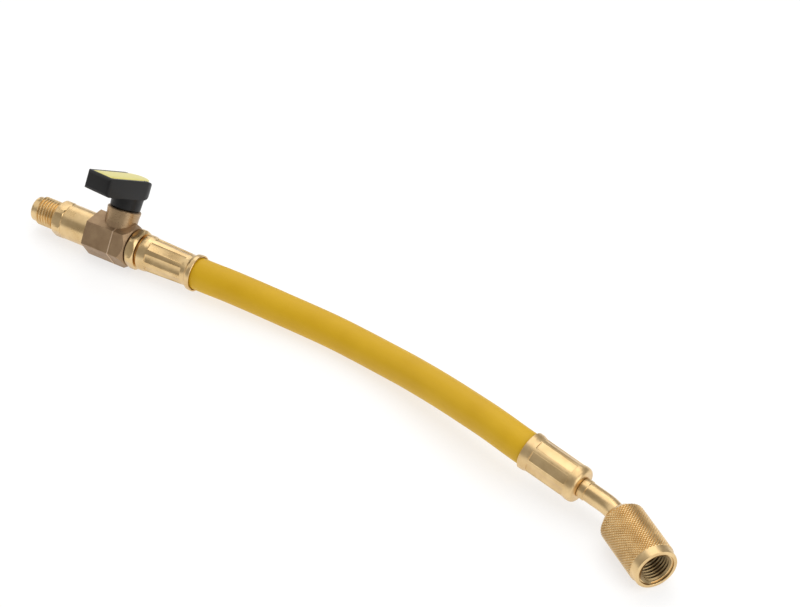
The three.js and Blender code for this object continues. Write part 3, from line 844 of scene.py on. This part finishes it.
def elbow_tube():
    end = ELBOW_FERRULE_LENGTH
    tube = bent_bar("elbow_tube_brass", end + 0.1, FLANGE_END, TUBE_RADIUS, ROUND_SIDES)
    root = turned("tube_root", [
        (end + 0.1, TUBE_ROOT_RADIUS - 0.15), (end + 0.25, TUBE_ROOT_RADIUS),
        (end + TUBE_ROOT_LENGTH - 0.35, TUBE_ROOT_RADIUS), (end + TUBE_ROOT_LENGTH, TUBE_RADIUS - 0.1),
    ])
    combine(tube, root, "UNION")
    tail = turned("tube_tail", [(end - TAIL_DEPTH, TAIL_RADIUS), (end + 1, TAIL_RADIUS)])
    combine(tube, tail, "UNION")
    flange = turned("tube_flange", [(FLANGE_START, FLANGE_RADIUS), (FLANGE_END, FLANGE_RADIUS)])
    set_place(flange, ALONG_X.inverted() @ FAR.inverted() @ NUT @ ALONG_X)
    combine(tube, flange, "UNION")
    bore = bent_bar("tube_bore", end - TAIL_DEPTH - 1, FLANGE_END + 1, TUBE_BORE, ROUND_SIDES // 2)
    combine(tube, bore, "DIFFERENCE")
    return finish_piece(tube, FAR @ ALONG_X, "hose_body", "polished_brass", FAR_BRASS, "elbow_tube")


def knurl():
    """A sleeve of small raised diamonds."""
    start = NUT_BACK_RIM + NUT_SHOULDER * 0.7
    end = NUT_LENGTH - NUT_FRONT_RIM - NUT_SHOULDER * 0.7
    sleeve = circle("knurl", KNURL_VALLEY, start, KNURLS_AROUND)
    for _ in range(KNURLS_ALONG):
        bpy.ops.mesh.extrude_region_move(
            TRANSFORM_OT_translate={"value": (0, 0, (end - start) / KNURLS_ALONG)})
    bpy.ops.mesh.select_all(action="SELECT")
    bpy.ops.mesh.normals_make_consistent(inside=False)
    bpy.ops.mesh.poke()
    bpy.ops.object.mode_set(mode="OBJECT")
    grid = KNURLS_AROUND * (KNURLS_ALONG + 1)
    edit(sleeve)
    pick(lambda place, part: not part.is_boundary and all(v.index < grid for v in part.verts),
         "EDGE")
    bpy.ops.mesh.dissolve_edges(use_verts=False)
    bpy.ops.mesh.select_mode(type="FACE")
    bpy.ops.mesh.select_all(action="SELECT")
    bpy.ops.mesh.inset(thickness=KNURL_SLOPE, depth=KNURL_RADIUS - KNURL_VALLEY,
                       use_individual=True, use_boundary=True)
    bpy.ops.object.mode_set(mode="OBJECT")
    return sleeve


def knurled_nut():
    hole = TUBE_RADIUS + GAP
    front = NUT_LENGTH - NUT_FRONT_RIM
    shell = turned("nut_shell", [
        (0, hole), (0, 5.4), (0.1, 5.8), (0.4, 6.2), (1.3, 6.75), (NUT_BACK_RIM, 7.1),
        (NUT_BACK_RIM + NUT_SHOULDER * 0.6, KNURL_VALLEY - 0.02),
        (front - NUT_SHOULDER * 0.6, KNURL_VALLEY - 0.02), (front, NUT_RIM),
        (NUT_LENGTH - 0.5, NUT_RIM), (NUT_LENGTH - 0.15, NUT_RIM - 0.15),
        (NUT_LENGTH, NUT_RIM - 0.5), (NUT_LENGTH, NUT_MOUTH + 0.1), (NUT_LENGTH - 0.1, NUT_MOUTH),
        (NUT_LENGTH - 0.7, NUT_MOUTH - 0.1), (NUT_LENGTH - 0.8, NUT_ROOT),
        (NUT_BACK_WALL, NUT_ROOT), (NUT_BACK_WALL, hole),
    ], closed=True)
    coil = thread_coil("nut_thread", NUT_CREST, NUT_ROOT + 0.15, False, NUT_THREAD_START, NUT_TURNS)
    piece = joined("knurled_nut_brass", shell, knurl(), coil)
    piece.data.materials.append(NUT_BRASS)
    piece.data.materials.append(THREAD_PAINTED_SHADE_BRASS)
    # Faces inside the threaded bore get the darkened brass: painted shade in the nut's recess
    for face in piece.data.polygons:
        from_axis = math.hypot(face.center.x, face.center.y)
        if NUT_CREST + 0.1 < from_axis < NUT_ROOT + 0.2 and face.center.z > NUT_BACK_WALL:
            face.material_index = 1
    return finish_piece(piece, NUT @ ALONG_X, "flare_nut", "polished_brass", NUT_BRASS,
                        "knurled_nut", smooth=24)


def rounded_bar():
    """The handle's bar, round at the end over the stem and squarer at the far one."""
    middle = (HANDLE_REACH - HANDLE_ROUND_END) / 2
    half_way_up = (HANDLE_BOTTOM + HANDLE_TOP) / 2
    size = (HANDLE_REACH + HANDLE_ROUND_END, HANDLE_WIDTH, HANDLE_TOP - HANDLE_BOTTOM)
    bar = block("handle_plastic", size, (middle, 0, half_way_up))
    for at_far_end, radius, steps in ((False, HANDLE_WIDTH / 2 - 0.01, 20),
                                      (True, HANDLE_CORNER, 6)):
        edit(bar)
        pick(lambda place, part: abs(place.z - half_way_up) < 0.01 and abs(place.y) > 2
             and (place.x > middle) == at_far_end
             and abs(part.verts[0].co.z - part.verts[1].co.z) > 0.1, "EDGE")
        bpy.ops.mesh.bevel(offset=radius, segments=steps, affect="EDGES")
        bpy.ops.object.mode_set(mode="OBJECT")
    return bar


def handle():
    bar = rounded_bar()
    edit(bar)
    pick(lambda place, part: place.z > HANDLE_TOP - 0.01, "FACE")
    bpy.ops.mesh.inset(thickness=INSERT_RIM)
    bpy.ops.mesh.extrude_region_move(TRANSFORM_OT_translate={"value": (0, 0, -INSERT_DEPTH)})
    bpy.ops.object.mode_set(mode="OBJECT")
    socket = turned("handle_socket", [
        (SOCKET_FOOT, SOCKET_RADIUS - 0.3), (SOCKET_FOOT + 0.3, SOCKET_RADIUS),
        (HANDLE_BOTTOM - 1.5, SOCKET_RADIUS + 0.15), (HANDLE_BOTTOM + 1, SOCKET_TOP_RADIUS + 0.05),
    ], sides=ROUND_SIDES)
    combine(bar, socket, "UNION")
    soften(bar, HANDLE_ROUNDING, 3)
    hole = block("stem_square_hole",
                 (STEM_SQUARE_HOLE, STEM_SQUARE_HOLE, STEM_TOP + GAP - BOSS_HEIGHT),
                 (0, 0, (STEM_TOP + GAP + BOSS_HEIGHT) / 2))
    combine(bar, hole, "DIFFERENCE")
    return finish_piece(bar, HANDLE, "valve_handle", "black_plastic", HANDLE_BLACK, "handle")


def handle_insert():
    margin = INSERT_RIM + INSERT_MARGIN
    bottom = HANDLE_TOP - INSERT_DEPTH + GAP
    top = HANDLE_TOP - 0.1
    half_width = HANDLE_WIDTH / 2 - margin
    round_middle = margin + half_width - HANDLE_ROUND_END
    reach = HANDLE_REACH - margin
    plate = turned("handle_insert_plate", [(bottom, half_width), (top, half_width)],
                   sides=ROUND_SIDES)
    set_place(plate, Matrix.Translation((round_middle, 0, 0)))
    arm = block("insert_arm", (reach - round_middle, 2 * half_width - 0.02, top - bottom),
                ((reach + round_middle) / 2, 0, (bottom + top) / 2))
    combine(plate, arm, "UNION")
    edit(plate)
    pick(lambda place, part: place.z > top - 0.01, "FACE")
    length = reach - round_middle + half_width
    width = 2 * half_width
    middle = (reach + round_middle - half_width) / 2
    for step, rise in INSERT_CROWN:
        bpy.ops.mesh.extrude_region_move(TRANSFORM_OT_translate={"value": (0, 0, rise)})
        bpy.ops.transform.resize(value=(1 - 2 * step / length, 1 - 2 * step / width, 1),
                                 center_override=(middle, 0, HANDLE_TOP))
        length -= 2 * step
        width -= 2 * step
    bpy.ops.object.mode_set(mode="OBJECT")
    return finish_piece(plate, HANDLE, "valve_handle", "yellow_plastic", INSERT_YELLOW,
                        "handle_insert", smooth=40)


def hose():
    """The hose as one smooth line through its route."""
    line = bpy.data.curves.new("charging_hose", "CURVE")
    line.dimensions = "3D"
    spline = line.splines.new("BEZIER")
    spline.bezier_points.add(len(HOSE_ROUTE) - 1)
    for knot, place in zip(spline.bezier_points, HOSE_ROUTE):
        knot.co = Vector(place) * MM
        knot.handle_left_type = "AUTO"
        knot.handle_right_type = "AUTO"
    line.resolution_u = HOSE_STEPS
    line.bevel_depth = HOSE_DIAMETER / 2 * MM
    line.bevel_resolution = HOSE_ROUNDNESS
    line.use_fill_caps = True
    line.materials.append(HOSE_YELLOW)
    piece = bpy.data.objects.new("charging_hose", line)
    bpy.context.scene.collection.objects.link(piece)
    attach(piece, "hose_body")
    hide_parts("hose")
    return piece


def studio():
    """Plain pale floor and soft lights."""
    deselect()
    bpy.ops.mesh.primitive_plane_add(size=FLOOR_SIZE, location=(0, 0, -0.0002))
    floor = named("studio_floor")
    pale = Finish("studio_white")
    pale.set(Roughness=0.6)
    grain = pale.group(GRAIN, Grain_Scale=900.0, Cloud_Scale=2.0)
    tint = pale.ramp(grain.outputs["Clouds"], 0.2, 0.8, (0.36, 0.36, 0.36), (0.38, 0.38, 0.38))
    pale.links.new(tint, pale.shader.inputs["Base Color"])
    pale.set(Emission_Color=(1, 1, 1, 1), Emission_Strength=FLOOR_GLOW)
    floor.data.materials.append(pale.material)
    middle = Vector(((cad_box[0][0] + cad_box[1][0]) / 2, (cad_box[0][1] + cad_box[1][1]) / 2, 0))
    for label, azimuth, elevation, distance, size, power in LAMPS:
        way = way_to(math.radians(azimuth), math.radians(elevation))
        lamp = bpy.data.lights.new(label, "AREA")
        lamp.shape = "SQUARE"
        lamp.size = size
        lamp.energy = power
        holder = bpy.data.objects.new(label, lamp)
        holder.location = middle + way * distance
        holder.rotation_euler = way.to_track_quat("Z", "Y").to_euler()
        bpy.context.scene.collection.objects.link(holder)
    world = bpy.data.worlds.new("studio_air")
    world.use_nodes = True
    world.node_tree.nodes["Background"].inputs["Color"].default_value = AIR_COLOUR
    world.node_tree.nodes["Background"].inputs["Strength"].default_value = AIR_GLOW
    bpy.context.scene.world = world
    bpy.context.scene.view_settings.view_transform = "Standard"
    bpy.context.scene.view_settings.exposure = EXPOSURE


def camera():
    lens = bpy.data.cameras.new("camera")
    lens.sensor_width = SENSOR
    lens.lens = FOCAL_PIXELS * SENSOR / PHOTO_WIDTH
    lens.clip_end = 10
    holder = bpy.data.objects.new("camera", lens)
    way = way_to(CAMERA_AZIMUTH, CAMERA_ELEVATION)
    holder.location = CAMERA_AIM + way * CAMERA_DISTANCE
    level = way.to_track_quat("Z", "Y").to_matrix().to_4x4()
    holder.rotation_euler = (level @ Matrix.Rotation(CAMERA_ROLL, 4, "Z")).to_euler()
    bpy.context.scene.collection.objects.link(holder)
    bpy.context.scene.camera = holder


camera()
studio()
hose_piece = hose()
male_adaptor()
valve_body()
hose_tail()
valve_ferrule()
far_sleeve = elbow_ferrule()
bent = elbow_tube()
knurled_nut()
handle()
handle_insert()

for node, material in (("seat_hose_side", SEAL_WHITE), ("seat_male_side", SEAL_WHITE),
                       ("seal_ring", SEAL_WHITE), ("valve_ball", BALL_CHROME),
                       ("valve_stem", VALVE_BRASS)):
    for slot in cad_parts[node].material_slots:
        slot.material = material
